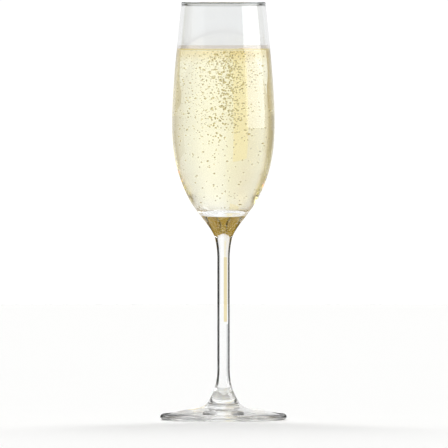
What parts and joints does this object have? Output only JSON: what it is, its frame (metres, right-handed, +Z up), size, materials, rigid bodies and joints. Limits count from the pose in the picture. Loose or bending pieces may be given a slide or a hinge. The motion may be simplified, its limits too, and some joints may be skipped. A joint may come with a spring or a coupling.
{
  "type": "champagne flute",
  "caption": "Tall stemmed glass with a narrow, slightly closed bowl, a slender stem and a round foot, filled with a pale sparkling drink; holds and serves sparkling wine.",
  "frame": {"origin": "centre of the foot, on the surface it stands on", "axes": "+Z up, along the axis that every piece is turned about; +X and +Y are any two level directions, because the glass is round"},
  "size_m": [0.068, 0.068, 0.225],
  "materials": {
    "clear_glass": "polished",
    "sparkling_wine": "polished"
  },
  "bodies": {
    "root": {"bowl": "clear_glass", "stem": "clear_glass", "foot": "clear_glass", "champagne": "sparkling_wine"}
  },
  "joints": []
}
